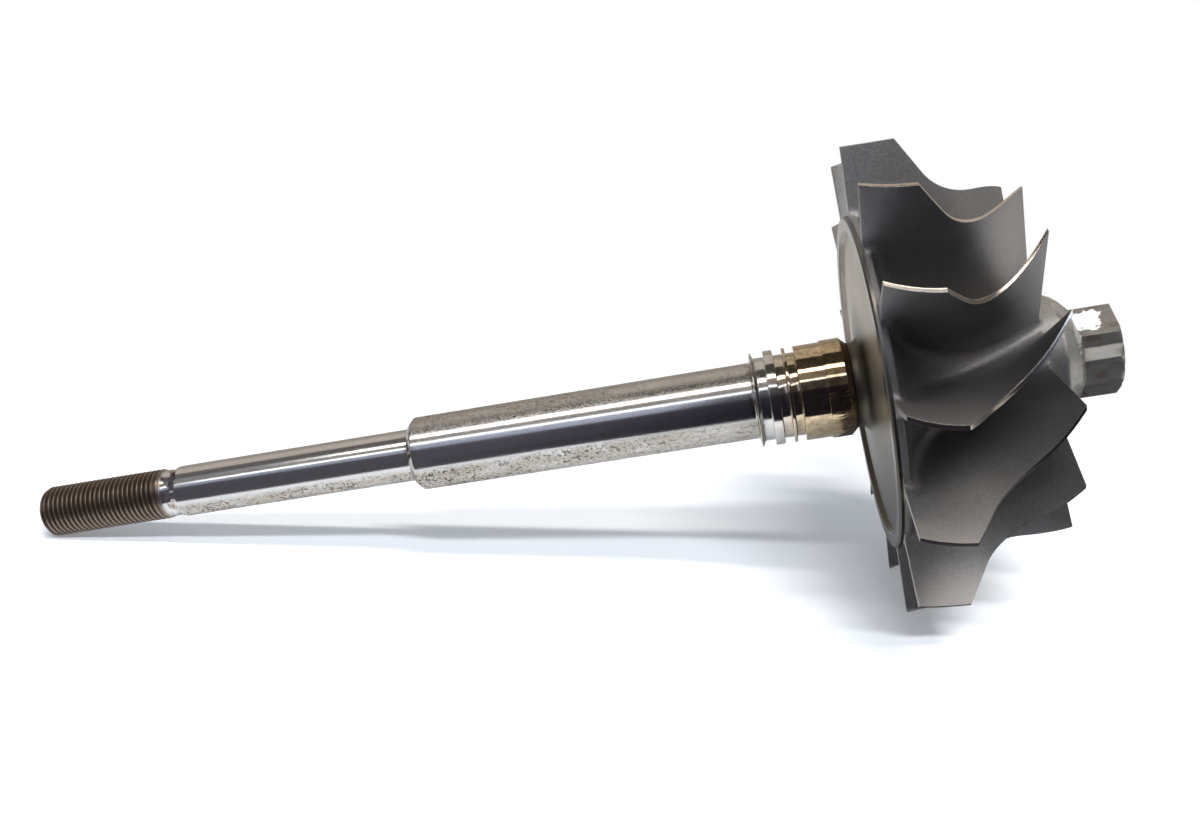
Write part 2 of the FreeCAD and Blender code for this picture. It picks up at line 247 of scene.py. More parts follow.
def make_piece(name, skin, materials, node, bevel):
    """Lay a skin down as a mesh object that stands for a node."""
    mesh = bpy.data.meshes.new(name)
    mesh.from_pydata(skin.points, [], skin.faces)
    for polygon, finish in zip(mesh.polygons, skin.finishes):
        polygon.material_index = finish
    work = bmesh.new()
    work.from_mesh(mesh)
    bmesh.ops.remove_doubles(work, verts=work.verts, dist=MERGE_DISTANCE)
    bmesh.ops.dissolve_degenerate(work, edges=work.edges, dist=MERGE_DISTANCE / 2)
    bmesh.ops.recalc_face_normals(work, faces=work.faces)
    for face in work.faces:
        face.smooth = True
    for edge in work.edges:
        edge.smooth = bool(bevel) or edge.calc_face_angle(0.0) < SHARP_ANGLE
    work.to_mesh(mesh)
    work.free()
    mesh.transform(LAY_DOWN)
    piece = bpy.data.objects.new(name, mesh)
    bpy.context.scene.collection.objects.link(piece)
    for material in materials:
        mesh.materials.append(material)
    if bevel:
        edge = piece.modifiers.new("edges", "BEVEL")
        edge.width = bevel * MM
        edge.segments = 2
        edge.limit_method = "ANGLE"
        edge.angle_limit = BEVEL_ANGLE
        edge.use_clamp_overlap = True
    even = piece.modifiers.new("normals", "WEIGHTED_NORMAL")
    even.keep_sharp = True
    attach(piece, "root")
    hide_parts(node)


# Shaft

THREAD_FORM = ((0.0, 0.0), (0.05, 0.02), (0.10, 0.12), (0.235, 0.52), (0.37, 0.92), (0.43, 1.0))


def thread_radius(station, depth):
    """Radius on the thread: its depth under the crest, with the end chamfer and the run-out."""
    crest = min(THREAD_RADIUS, THREAD_RADIUS - THREAD_CHAMFER + station)
    if station > THREAD_LENGTH:
        fall = (THREAD_RADIUS - RELIEF_RADIUS) / THREAD_SLOPE
        crest = THREAD_RADIUS - (station - THREAD_LENGTH) * fall
    fade = (THREAD_LENGTH + THREAD_FADE / 3 - station) / THREAD_FADE
    fade = max(0.0, min(1.0, fade))
    return min(crest, THREAD_RADIUS - THREAD_DEPTH * depth * fade)


def add_thread(skin, angles):
    """A right-hand thread whose columns of points follow the helix, cut off square at both ends."""
    mirrored = tuple((1 - place, depth) for place, depth in reversed(THREAD_FORM[1:]))
    form = THREAD_FORM + mirrored
    turns = int(RELIEF_START / THREAD_PITCH) + 2
    columns = []
    for turn in range(-1, turns):
        for place, depth in form:
            column = []
            for angle in list(angles) + [TURN]:
                station = (turn + place + angle / TURN) * THREAD_PITCH
                station = max(0.0, min(RELIEF_START, station))
                column.append(skin.point(station, thread_radius(station, depth), angle))
            columns.append(column)
    for first, second in zip(columns, columns[1:]):
        skin.strip(first, second, 0)
    return [skin.point(0.0, THREAD_RADIUS - THREAD_CHAMFER, angle) for angle in angles]


def soften(corners, reach, steps=3):
    """Round the corners of an outline, each by a short curve that starts `reach` before it."""
    points = [corners[0]]
    for before, corner, after in zip(corners, corners[1:], corners[2:]):
        corner = Vector(corner)
        arms = []
        for other in (Vector(before), Vector(after)):
            arm = other - corner
            arms.append(corner + arm * min(0.45, reach / arm.length))
        for step in range(steps + 1):
            share = step / steps
            curve = arms[0] * (1 - share) ** 2 + corner * 2 * share * (1 - share) + arms[1] * share ** 2
            points.append((curve.x, curve.y))
    points.append(corners[-1])
    return points


def shaft_outline():
    """The bar from the thread's relief to the weld."""
    corners = [
        (RELIEF_START, RELIEF_RADIUS),
        (RELIEF_END, RELIEF_RADIUS),
        (STUB_START, STUB_RADIUS),
        (SHOULDER, STUB_RADIUS),
        (SHOULDER, JOURNAL_RADIUS - JOURNAL_CHAMFER),
        (SHOULDER + JOURNAL_CHAMFER, JOURNAL_RADIUS),
        (JOURNAL_END, JOURNAL_RADIUS),
        (LIP_START, SLINGER_RADIUS),
        (LIP_END, SLINGER_RADIUS),
        (GROOVE_START, GROOVE_RADIUS),
        (WIDE_START, GROOVE_RADIUS),
        (WIDE_START, LAND_RADIUS),
        (WIDE_END, LAND_RADIUS),
        (WIDE_END, GROOVE_RADIUS),
        (THIN_START, GROOVE_RADIUS),
        (THIN_START, LAND_RADIUS),
        (THIN_END, LAND_RADIUS),
        (THIN_END, GROOVE_RADIUS),
        (BOSS_START, GROOVE_RADIUS),
        (BOSS_START, LAND_RADIUS),
        (WELD, LAND_RADIUS),
    ]
    return soften(corners, EDGE_ROUND)


def make_shaft(material):
    skin = Skin()
    angles = [TURN * step / SHAFT_SEGMENTS for step in range(SHAFT_SEGMENTS)]
    end = add_thread(skin, angles)
    skin.drilled_cap(end, 0.0, 1, angles, 0)
    rows = [skin.ring(station, radius, angles) for station, radius in shaft_outline()]
    for first, second in zip(rows, rows[1:]):
        skin.strip(first, second, 0, closed=True)
    skin.cap(rows[-1], WELD, 0)
    make_piece("ground_shaft", skin, [material], "shaft", None)


# Wheel

CAST, GROUND, TURNED, NOSE = range(4)


def blade_turn(station):
    """The blade's angle about the axis at a station from its back edge: its lean, then the exducer."""
    lean = INDUCER_LEAN * (1 - (1 - min(1.0, station / LEAN_LENGTH)) ** 2)
    reach = max(0.0, min(1.0, (station - TURN_START) / (BLADE_LENGTH - TURN_START)))
    return lean - EXDUCER_TURN * reach ** TURN_POWER


def shroud_radius(station):
    """Radius of the shroud line at a station from the blades' back edge."""
    before_end = max(0.0, SHROUD_END - station)
    reach = SHROUD_CURVE * math.sin(SHROUD_SLOPE)
    curve = SHROUD_CURVE - math.sqrt(SHROUD_CURVE ** 2 - min(before_end, reach) ** 2)
    slope = max(0.0, before_end - reach) * math.tan(SHROUD_SLOPE)
    return min(TIP_RADIUS, EXDUCER_RADIUS + curve + slope)


def half_thickness(station, radius):
    """Half a blade's thickness: it thins evenly from the root to just outside the shroud line."""
    foot = HUB_RADIUS - ROOT_THICKNESS
    share = (radius - foot) / (shroud_radius(station) + 2 * TIP_THICKNESS - foot)
    return (ROOT_THICKNESS + (TIP_THICKNESS - ROOT_THICKNESS) * share) / 2


def flank_angle(blade, station, radius, side, out=0.0):
    """Angle of a point beside a blade: side is -1 or 1, and out its distance from the flank."""
    middle = TURN / 4 + blade * SECTOR + blade_turn(station - BLADE_BACK)
    return middle + side * (half_thickness(station - BLADE_BACK, radius) + out) / radius


def fillet_at(row):
    """Root fillet, smaller where the blades crowd together on the hub."""
    station, radius = row[:2]
    gap = SECTOR * radius - 2 * half_thickness(station - BLADE_BACK, radius)
    return min(ROOT_FILLET, FILLET_SHARE * gap)


def hub_line():
    """The hub under the blades: rows of station, radius and the outward direction there."""
    rows = []
    flat = RIM_THICKNESS - RIM_ROUND
    for share in (0.0, 0.5, 1.0):
        rows.append((BLADE_BACK + share * (flat - BLADE_BACK), DISC_RADIUS, 0.0, 1.0))
    centre = HUB_RADIUS + HUB_CURVE
    start = math.acos((centre - DISC_RADIUS) / HUB_CURVE)
    end = RIM_THICKNESS + HUB_CURVE * math.sin(start)
    for step in (1, 2, 3):
        angle = start * step / 3
        over = RIM_ROUND * math.sin(angle)
        up = DISC_RADIUS - RIM_ROUND + RIM_ROUND * math.cos(angle)
        rows.append((flat + over, up, math.sin(angle), math.cos(angle)))
    for step in range(1, CURVE_ROWS + 1):
        angle = start * (1 - step / CURVE_ROWS)
        station = end - HUB_CURVE * math.sin(angle)
        rows.append((station, centre - HUB_CURVE * math.cos(angle), math.sin(angle), math.cos(angle)))
    finish = BLADE_BACK + BLADE_LENGTH
    for step in (1, 2, 3, 4):
        rows.append((end + (finish - end) * step / 4, HUB_RADIUS, 0.0, 1.0))
    return rows


def shroud_point(distance):
    """Station and radius on the shroud line, a distance along it from the blades' back edge."""
    corner = BLADE_BACK + INDUCER_WIDTH
    if distance <= INDUCER_WIDTH:
        return BLADE_BACK + distance, TIP_RADIUS
    distance -= INDUCER_WIDTH
    if distance <= SHROUD_STRAIGHT:
        return corner + distance * math.cos(SHROUD_SLOPE), TIP_RADIUS - distance * math.sin(SHROUD_SLOPE)
    distance -= SHROUD_STRAIGHT
    finish = BLADE_BACK + SHROUD_END
    if distance <= SHROUD_CURVE * SHROUD_SLOPE:
        left = SHROUD_SLOPE - distance / SHROUD_CURVE
        rise = SHROUD_CURVE * (1 - math.cos(left))
        return finish - SHROUD_CURVE * math.sin(left), EXDUCER_RADIUS + rise
    distance -= SHROUD_CURVE * SHROUD_SLOPE
    return finish + distance, EXDUCER_RADIUS


def shroud_length():
    curve = SHROUD_CURVE * SHROUD_SLOPE
    return INDUCER_WIDTH + SHROUD_STRAIGHT + curve + BLADE_LENGTH - SHROUD_END


def match_rows(rows):
    """For each hub row, the distance along the shroud line, with one row on the inducer's corner."""
    along = [0.0]
    for first, second in zip(rows, rows[1:]):
        along.append(along[-1] + math.hypot(second[0] - first[0], second[1] - first[1]))
    total = shroud_length()
    corner = min(range(len(rows)), key=lambda row: abs(along[row] / along[-1] - INDUCER_WIDTH / total))
    distances = []
    for row, length in enumerate(along):
        if row <= corner:
            distances.append(INDUCER_WIDTH * length / along[corner])
        else:
            share = (length - along[corner]) / (along[-1] - along[corner])
            distances.append(INDUCER_WIDTH + (total - INDUCER_WIDTH) * share)
    return distances


def passage_row(skin, row, blade, fillet):
    """Points across the passage from one blade's flank to the next one's, fillets included."""
    station, radius, out_station, out_radius = row
    points = []
    ends = []
    for side, owner in ((1, blade), (-1, blade + 1)):
        arc = []
        for step in range(FILLET_STEPS + 1):
            turn = TURN / 4 * step / FILLET_STEPS
            away = fillet * (1 - math.cos(turn))
            up = fillet * (1 - math.sin(turn))
            x = station + up * out_station
            r = radius + up * out_radius
            arc.append((x, r, flank_angle(owner, x, r, side, away)))
        ends.append(arc)
    first, last = ends
    last.reverse()
    for x, r, angle in first:
        points.append(skin.point(x, r, angle))
    for step in range(1, FLOOR_STEPS):
        share = step / FLOOR_STEPS
        angle = first[-1][2] * (1 - share) + last[0][2] * share
        points.append(skin.point(station, radius, angle))
    for x, r, angle in last:
        points.append(skin.point(x, r, angle))
    return points


def flank_point(skin, row, fillet, distance, share, blade, across):
    """A point of a blade: share runs from the fillet to the shroud line, across over its thickness."""
    station, radius, out_station, out_radius = row
    low = Vector((station + fillet * out_station, radius + fillet * out_radius))
    x, r = low.lerp(Vector(shroud_point(distance)), share)
    middle = TURN / 4 + blade * SECTOR + blade_turn(x - BLADE_BACK)
    return skin.point(x, r, middle + across * half_thickness(x - BLADE_BACK, r) / r)


ACROSS = (-1.0, -0.4, 0.4, 1.0)


def add_blade(skin, rows, distances, blade):
    """One blade's flanks, tip land and two end faces. Returns the inner points of both end faces."""
    shares = [step / SIDE_ROWS for step in range(SIDE_ROWS + 1)]
    flanks = {}
    for across in (-1.0, 1.0):
        grid = []
        for row, distance in zip(rows, distances):
            fillet = fillet_at(row)
            grid.append([flank_point(skin, row, fillet, distance, share, blade, across) for share in shares])
        flanks[across] = grid
        for first, second in zip(grid, grid[1:]):
            skin.strip(first, second, CAST)
    land = []
    for place, (row, distance) in enumerate(zip(rows, distances)):
        fillet = fillet_at(row)
        inner = [flank_point(skin, row, fillet, distance, 1.0, blade, across) for across in ACROSS[1:-1]]
        land.append([flanks[-1.0][place][-1], *inner, flanks[1.0][place][-1]])
    for first, second in zip(land, land[1:]):
        skin.strip(first, second, GROUND)
    ends = []
    for place, row, distance in ((0, rows[0], distances[0]), (-1, rows[-1], distances[-1])):
        fillet = fillet_at(row)
        face = []
        for step, share in enumerate(shares[:-1]):
            inner = []
            for across in ACROSS[1:-1]:
                inner.append(flank_point(skin, row, fillet, distance, share, blade, across))
            face.append([flanks[-1.0][place][step], *inner, flanks[1.0][place][step]])
        face.append(land[place])
        for first, second in zip(face, face[1:]):
            skin.strip(first, second, CAST)
        ends.append(face[0])
    return ends


def add_flow_side(skin):
    """Blades, fillets and hub as one skin. Returns the rings at the disc's back and behind the blades."""
    rows = hub_line()
    distances = match_rows(rows)
    back_loop = []
    tail_loop = []
    for blade in range(BLADES):
        grid = [passage_row(skin, row, blade, fillet_at(row)) for row in rows]
        for first, second in zip(grid, grid[1:]):
            skin.strip(first, second, CAST)
        back, tail = add_blade(skin, rows, distances, blade)
        back_loop += back[:-1] + grid[0][:-1]
        tail_loop += tail[:-1] + grid[-1][:-1]
    return rows, back_loop, tail_loop


def loop_angles(rows, place):
    """Angle and distance from the nearest blade of every point in a closed row round the hub."""
    station, radius = rows[place][:2]
    fillet = fillet_at(rows[place])
    columns = []
    for blade in range(BLADES):
        middle = TURN / 4 + blade * SECTOR + blade_turn(station - BLADE_BACK)
        for across in ACROSS[:-1]:
            half = half_thickness(station - BLADE_BACK, radius)
            columns.append((middle + across * half / radius, 0.0))
        first = []
        last = []
        for step in range(FILLET_STEPS + 1):
            away = fillet * (1 - math.cos(TURN / 4 * step / FILLET_STEPS))
            first.append((flank_angle(blade, station, radius, 1, away), away))
            last.append((flank_angle(blade + 1, station, radius, -1, away), away))
        columns += first
        for step in range(1, FLOOR_STEPS):
            share = step / FLOOR_STEPS
            columns.append((first[-1][0] * (1 - share) + last[-1][0] * share, fillet))
        columns += reversed(last[1:])
    return columns


def fillet_height(fillet, away):
    """Height of a root fillet at a distance from the blade."""
    if away >= fillet:
        return 0.0
    return fillet - math.sqrt(fillet ** 2 - (fillet - away) ** 2)


def add_tail(skin, rows, loop):
    """The fillets round the trailing edges and the hub after them."""
    columns = loop_angles(rows, -1)
    station, radius = rows[-1][:2]
    fillet = fillet_at(rows[-1])
    row = loop
    for share in (0.12, 0.35, 0.65, 1.0):
        beyond = fillet * share
        ring = []
        for angle, away in columns:
            height = fillet_height(fillet, math.hypot(away, beyond))
            ring.append(skin.point(station + beyond, radius + height, angle))
        skin.strip(row, ring, CAST, closed=True)
        row = ring
    angles = [angle for angle, away in columns]
    ring = skin.ring(HUB_LENGTH - 0.3, HUB_RADIUS, angles)
    skin.strip(row, ring, CAST, closed=True)
    return ring, angles


def add_back(skin, rows, loop):
    """Rim, machined band, recess, neck and boss, down to the weld plane."""
    columns = loop_angles(rows, 0)
    angles = [angle for angle, away in columns]
    ring = skin.ring(BLADE_BACK, DISC_RADIUS, angles)
    skin.strip(loop, ring, CAST, closed=True)
    neck_floor = RECESS_DEPTH - RECESS_RISE
    bottom = RECESS_RADIUS - RECESS_DEPTH / 2
    outline = [(RIM_CHAMFER, DISC_RADIUS), (0.0, DISC_RADIUS - RIM_CHAMFER)]
    outline += [(0.0, RECESS_RADIUS), (RECESS_DEPTH, bottom)]
    slope = math.atan(RECESS_RISE / (bottom - NECK_RADIUS))
    centre = neck_floor + NECK_FILLET * (math.tan(slope) - 1 / math.cos(slope))
    neck = []
    for step in range(NECK_STEPS + 1):
        turn = (TURN / 4 - slope) * step / NECK_STEPS
        neck.append((centre + NECK_FILLET * math.sin(turn), NECK_RADIUS + NECK_FILLET * (1 - math.cos(turn))))
    neck.reverse()
    inner = neck[0]
    for step in range(1, RECESS_STEPS):
        share = step / RECESS_STEPS
        station = RECESS_DEPTH + (inner[0] - RECESS_DEPTH) * share
        outline.append((station, bottom + (inner[1] - bottom) * share))
    outline += neck
    behind = -DISC_STATION
    outline += [(behind + BOSS_LENGTH + BOSS_CHAMFER, NECK_RADIUS)]
    outline += [(behind + BOSS_LENGTH, BOSS_RADIUS), (behind, BOSS_RADIUS)]
    for station, radius in outline:
        after = skin.ring(station, radius, angles)
        skin.strip(ring, after, TURNED, closed=True)
        ring = after
    skin.cap(ring, behind, TURNED)


def nose_radius(station, angle):
    """Radius of the nose: hub, cone and 12-point drive, under the two ground flats."""
    if station <= HUB_LENGTH:
        radius = HUB_RADIUS
    else:
        share = min(1.0, (station - HUB_LENGTH) / NOSE_CONE)
        radius = HUB_RADIUS + (DRIVE_RADIUS - HUB_RADIUS) * share
    step = TURN / DRIVE_POINTS
    off = abs((angle + step / 2) % step - step / 2)
    star = DRIVE_RADIUS * math.cos(step) / math.cos(step - off)
    start = HUB_LENGTH + NOSE_CONE
    share = max(0.0, min(1.0, (station - start) / DRIVE_BLEND + 0.5))
    share = share * share * (3 - 2 * share)
    radius = radius * (1 - share) + min(radius, star) * share
    end = start + DRIVE_LENGTH
    radius = min(radius, DRIVE_RADIUS + (end - station) - DRIVE_CHAMFER)
    for direction, height in FLATS:
        facing = math.cos(angle - direction)
        if facing > 0.3:
            radius = min(radius, (height + max(0.0, start - station)) / facing)
    return radius


def add_nose(skin, ring, angles):
    """The nose, from the ring behind the blades."""
    even = [TURN * step / NOSE_SEGMENTS for step in range(NOSE_SEGMENTS)]
    start = HUB_LENGTH + NOSE_CONE
    end = start + DRIVE_LENGTH
    stations = [HUB_LENGTH, HUB_LENGTH + 0.3]
    stations += [HUB_LENGTH + 0.7 + 0.4 * step for step in range(6)]
    stations += [start + away for away in (-0.35, -0.2, -0.08, 0.0, 0.08, 0.2, 0.35, 1.5, 3.0, 4.5)]
    stations += [end - DRIVE_CHAMFER, end]
    rows = []
    for station in stations:
        rows.append([skin.point(station, nose_radius(station, angle), angle) for angle in even])
    order = sorted(range(len(angles)), key=lambda place: angles[place] % TURN)
    sorted_ring = [ring[place] for place in order]
    sorted_angles = [angles[place] % TURN for place in order]
    skin.stitch(sorted_ring, sorted_angles, rows[0], even, NOSE)
    for first, second in zip(rows, rows[1:]):
        skin.strip(first, second, NOSE, closed=True)
    skin.drilled_cap(rows[-1], stations[-1], -1, even, NOSE)


def make_wheel(materials):
    skin = Skin()
    rows, back_loop, tail_loop = add_flow_side(skin)
    add_back(skin, rows, back_loop)
    ring, angles = add_tail(skin, rows, tail_loop)
    add_nose(skin, ring, angles)
    skin.points = [(station + DISC, y, z) for station, y, z in skin.points]
    make_piece("cast_wheel", skin, materials, "turbine_wheel", WHEEL_BEVEL)


# Materials


class Nodes:
    """A material and short ways to build its nodes."""

    def __init__(self, name):
        self.material = bpy.data.materials.new(name)
        self.material.use_nodes = True
        self.tree = self.material.node_tree
        self.shader = self.tree.nodes["Principled BSDF"]
        self.surface = self.tree.nodes["Material Output"].inputs["Surface"]

    def node(self, kind, **settings):
        made = self.tree.nodes.new("ShaderNode" + kind)
        for key, value in settings.items():
            setattr(made, key, value)
        return made

    def put(self, value, socket):
        """Give a socket a number, a colour or another node's output."""
        if isinstance(value, bpy.types.NodeSocket):
            self.tree.links.new(value, socket)
        elif isinstance(value, (tuple, list)) and len(value) == 3 and socket.type == "RGBA":
            socket.default_value = (*value, 1.0)
        else:
            socket.default_value = value

    def show(self, result):
        """Make this the surface in place of the shader that a new material starts with."""
        self.tree.nodes.remove(self.shader)
        self.put(result, self.surface)
        return self.material

    def maths(self, operation, first, second=0.0, clamp=False):
        made = self.node("Math", operation=operation, use_clamp=clamp)
        self.put(first, made.inputs[0])
        self.put(second, made.inputs[1])
        return made.outputs[0]

    def ramp(self, value, low, high, start=0.0, end=1.0, kind="LINEAR"):
        """From start to end as value goes from low to high, and level outside."""
        made = self.node("MapRange", interpolation_type=kind)
        for name, number in (("From Min", low), ("From Max", high), ("To Min", start), ("To Max", end)):
            made.inputs[name].default_value = number
        self.put(value, made.inputs["Value"])
        return made.outputs["Result"]

    def ease(self, value, low, high, start=0.0, end=1.0):
        return self.ramp(value, low, high, start, end, "SMOOTHSTEP")

    def mix(self, share, first, second):
        made = self.node("Mix", data_type="RGBA", clamp_factor=True)
        self.put(share, made.inputs["Factor"])
        colours = [socket for socket in made.inputs if socket.type == "RGBA"]
        self.put(first, colours[0])
        self.put(second, colours[1])
        return [socket for socket in made.outputs if socket.type == "RGBA"][0]


class Finish(Nodes):
    """A material of the rotor, with the rotor's own coordinates in millimetres at hand."""

    def __init__(self, name):
        super().__init__(name)
        coordinates = self.node("TexCoord")
        mapping = self.node("Mapping", vector_type="TEXTURE")
        mapping.inputs["Location"].default_value = START
        mapping.inputs["Rotation"].default_value = (0, -TILT, 0)
        mapping.inputs["Scale"].default_value = (MM, MM, MM)
        self.put(coordinates.outputs["Object"], mapping.inputs["Vector"])
        self.rotor = mapping.outputs["Vector"]
        parts = self.node("SeparateXYZ")
        self.put(self.rotor, parts.inputs["Vector"])
        self.x, self.y, self.z = parts.outputs
        side = self.maths("MULTIPLY", self.y, self.y)
        up = self.maths("MULTIPLY", self.z, self.z)
        self.radius = self.maths("SQRT", self.maths("ADD", side, up))

    def stretched(self, stretch, shift=0.0):
        """Rotor coordinates scaled per axis, for patterns that run one way."""
        made = self.node("Mapping")
        made.inputs["Scale"].default_value = stretch
        made.inputs["Location"].default_value = (shift, shift, shift)
        self.put(self.rotor, made.inputs["Vector"])
        return made.outputs["Vector"]

    def noise(self, stretch, detail=3.0, roughness=0.55, shift=0.0):
        made = self.node("TexNoise")
        self.put(self.stretched(stretch, shift), made.inputs["Vector"])
        made.inputs["Scale"].default_value = 1.0
        made.inputs["Detail"].default_value = detail
        made.inputs["Roughness"].default_value = roughness
        return made.outputs["Fac"]

    def between(self, value, low, high, soft):
        """1 where value lies between low and high, with soft ends."""
        rise = self.ease(value, low - soft / 2, low + soft / 2)
        fall = self.ease(value, high - soft / 2, high + soft / 2, 1.0, 0.0)
        return self.maths("MULTIPLY", rise, fall)

    def times(self, *values):
        result = values[0]
        for value in values[1:]:
            result = self.maths("MULTIPLY", result, value)
        return result

    def mix_value(self, share, first, second):
        made = self.node("Mix", data_type="FLOAT", clamp_factor=True)
        self.put(share, made.inputs["Factor"])
        numbers = [socket for socket in made.inputs if socket.type == "VALUE" and socket.name in ("A", "B")]
        self.put(first, numbers[0])
        self.put(second, numbers[1])
        return made.outputs["Result"]

    def bump(self, height, depth, normal=None):
        """Relief whose height of 1 is `depth` millimetres."""
        made = self.node("Bump")
        made.inputs["Strength"].default_value = 1.0
        made.inputs["Distance"].default_value = depth * MM
        self.put(height, made.inputs["Height"])
        if normal is not None:
            self.put(normal, made.inputs["Normal"])
        return made.outputs["Normal"]

    def set(self, **values):
        for name, value in values.items():
            self.put(value, self.shader.inputs[name.replace("_", " ")])


def straw_tint(mat):
    """Heat tint: straw gold, mottled with olive and brown."""
    straw = mat.mix(mat.noise((0.35, 0.3, 0.3), 5, shift=3.0), (0.44, 0.33, 0.19), (0.70, 0.54, 0.33))
    stains = mat.ease(mat.noise((0.75, 0.9, 0.9), 4, 0.65, shift=11.0), 0.42, 0.60)
    brown = mat.mix(mat.noise((0.5, 0.5, 0.5), 2, shift=17.0), (0.27, 0.245, 0.13), (0.30, 0.165, 0.10))
    return mat.mix(mat.maths("MULTIPLY", stains, 0.7), straw, brown)


def steel_finish():
    """Ground and polished steel: dark thread with a painted glint on its crests, worn journal with painted
    shade on its top and underside, heat-tinted seal boss.
    """
    mat = Finish("ground_steel")
    colour = mat.mix(mat.noise((0.05, 0.9, 0.9), 3), (0.55, 0.54, 0.53), (0.63, 0.62, 0.61))
    rough = mat.mix_value(mat.noise((0.12, 0.5, 0.5), 4), 0.09, 0.17)

    thread = mat.between(mat.x, -1.0, RELIEF_START - 0.4, 1.2)
    # Crests lighter than the roots: worn metal, and a painted glint on the crests.
    crest = mat.ease(mat.radius, THREAD_RADIUS - 0.16, THREAD_RADIUS - 0.02)
    bronze = mat.mix(mat.noise((0.5, 0.6, 0.6), 4), (0.10, 0.075, 0.058), (0.18, 0.14, 0.11))
    copper_and_glint = mat.mix(mat.noise((0.4, 0.8, 0.8), 3, shift=7.0), (0.22, 0.165, 0.125), (0.32, 0.27, 0.235))
    colour = mat.mix(thread, colour, mat.mix(crest, bronze, copper_and_glint))
    rough = mat.mix_value(thread, rough, mat.mix_value(crest, 0.5, 0.3))

    heat = mat.ease(mat.x, WIDE_START - 1.5, BOSS_START + 0.5)
    colour = mat.mix(mat.maths("MULTIPLY", heat, 0.9), colour, straw_tint(mat))
    rough = mat.mix_value(heat, rough, 0.08)

    # Top and underside of the journal: olive film and pits, and the darker colour on these two sides is
    # partly painted shade.
    low = mat.ease(mat.z, -2.6, -0.9, 1.0, 0.0)
    high = mat.maths("MULTIPLY", mat.ease(mat.z, 4.2, 6.2), 0.6)
    grime_and_shade = mat.maths("MAXIMUM", mat.maths("MAXIMUM", low, high), 0.05)
    journal = mat.between(mat.x, STUB_START, JOURNAL_END + 1.0, 3.0)
    left = mat.ease(mat.x, SHOULDER + 12.0, JOURNAL_END, 1.0, 0.45)
    specks = mat.ease(mat.noise((1.4, 1.6, 1.6), 3, 0.7, shift=21.0), 0.53, 0.59)
    fine = mat.ease(mat.noise((3.0, 3.4, 3.4), 2, 0.6, shift=27.0), 0.54, 0.60)
    patches = mat.ease(mat.noise((0.10, 0.22, 0.22), 3, shift=31.0), 0.34, 0.58, 0.4, 1.0)
    pits = mat.maths("MAXIMUM", specks, mat.maths("MULTIPLY", fine, 0.7))
    pits = mat.times(pits, patches, grime_and_shade, journal, left)
    film_and_shade = mat.ease(mat.noise((0.16, 0.5, 0.5), 5, 0.65, shift=41.0), 0.30, 0.60, 0.45, 1.0)
    film_and_shade = mat.times(film_and_shade, grime_and_shade, journal)
    olive = mat.mix(mat.noise((0.35, 0.7, 0.7), 4, shift=45.0), (0.36, 0.35, 0.285), (0.52, 0.46, 0.41))
    colour = mat.mix(mat.maths("MULTIPLY", film_and_shade, 0.95), colour, olive)
    rough = mat.mix_value(film_and_shade, rough, 0.42)
    colour = mat.mix(mat.maths("MULTIPLY", pits, 0.95), colour, (0.075, 0.046, 0.03))
    rough = mat.mix_value(pits, rough, 0.6)

    rust = mat.ease(mat.noise((0.8, 0.8, 0.8), 5, shift=51.0), 0.48, 0.68)
    near = mat.between(mat.x, SHOULDER - 0.6, SHOULDER + 1.4, 1.4)
    near = mat.maths("ADD", near, mat.between(mat.x, JOURNAL_END - 0.8, GROOVE_START, 1.0), clamp=True)
    near = mat.maths("ADD", near, mat.between(mat.x, RELIEF_START - 1.2, STUB_START + 0.3, 1.0), clamp=True)
    colour = mat.mix(mat.times(rust, near, 0.8), colour, (0.20, 0.10, 0.05))

    rings = mat.noise((9.0, 0.05, 0.05), 2)
    grain = mat.noise((3.0, 3.0, 3.0), 3, shift=61.0)
    normal = mat.bump(rings, 0.0012)
    normal = mat.bump(pits, -0.03, normal)
    normal = mat.bump(grain, 0.0015, normal)
    mat.set(Base_Color=colour, Metallic=1.0, Roughness=rough, Normal=normal)
    return mat.material


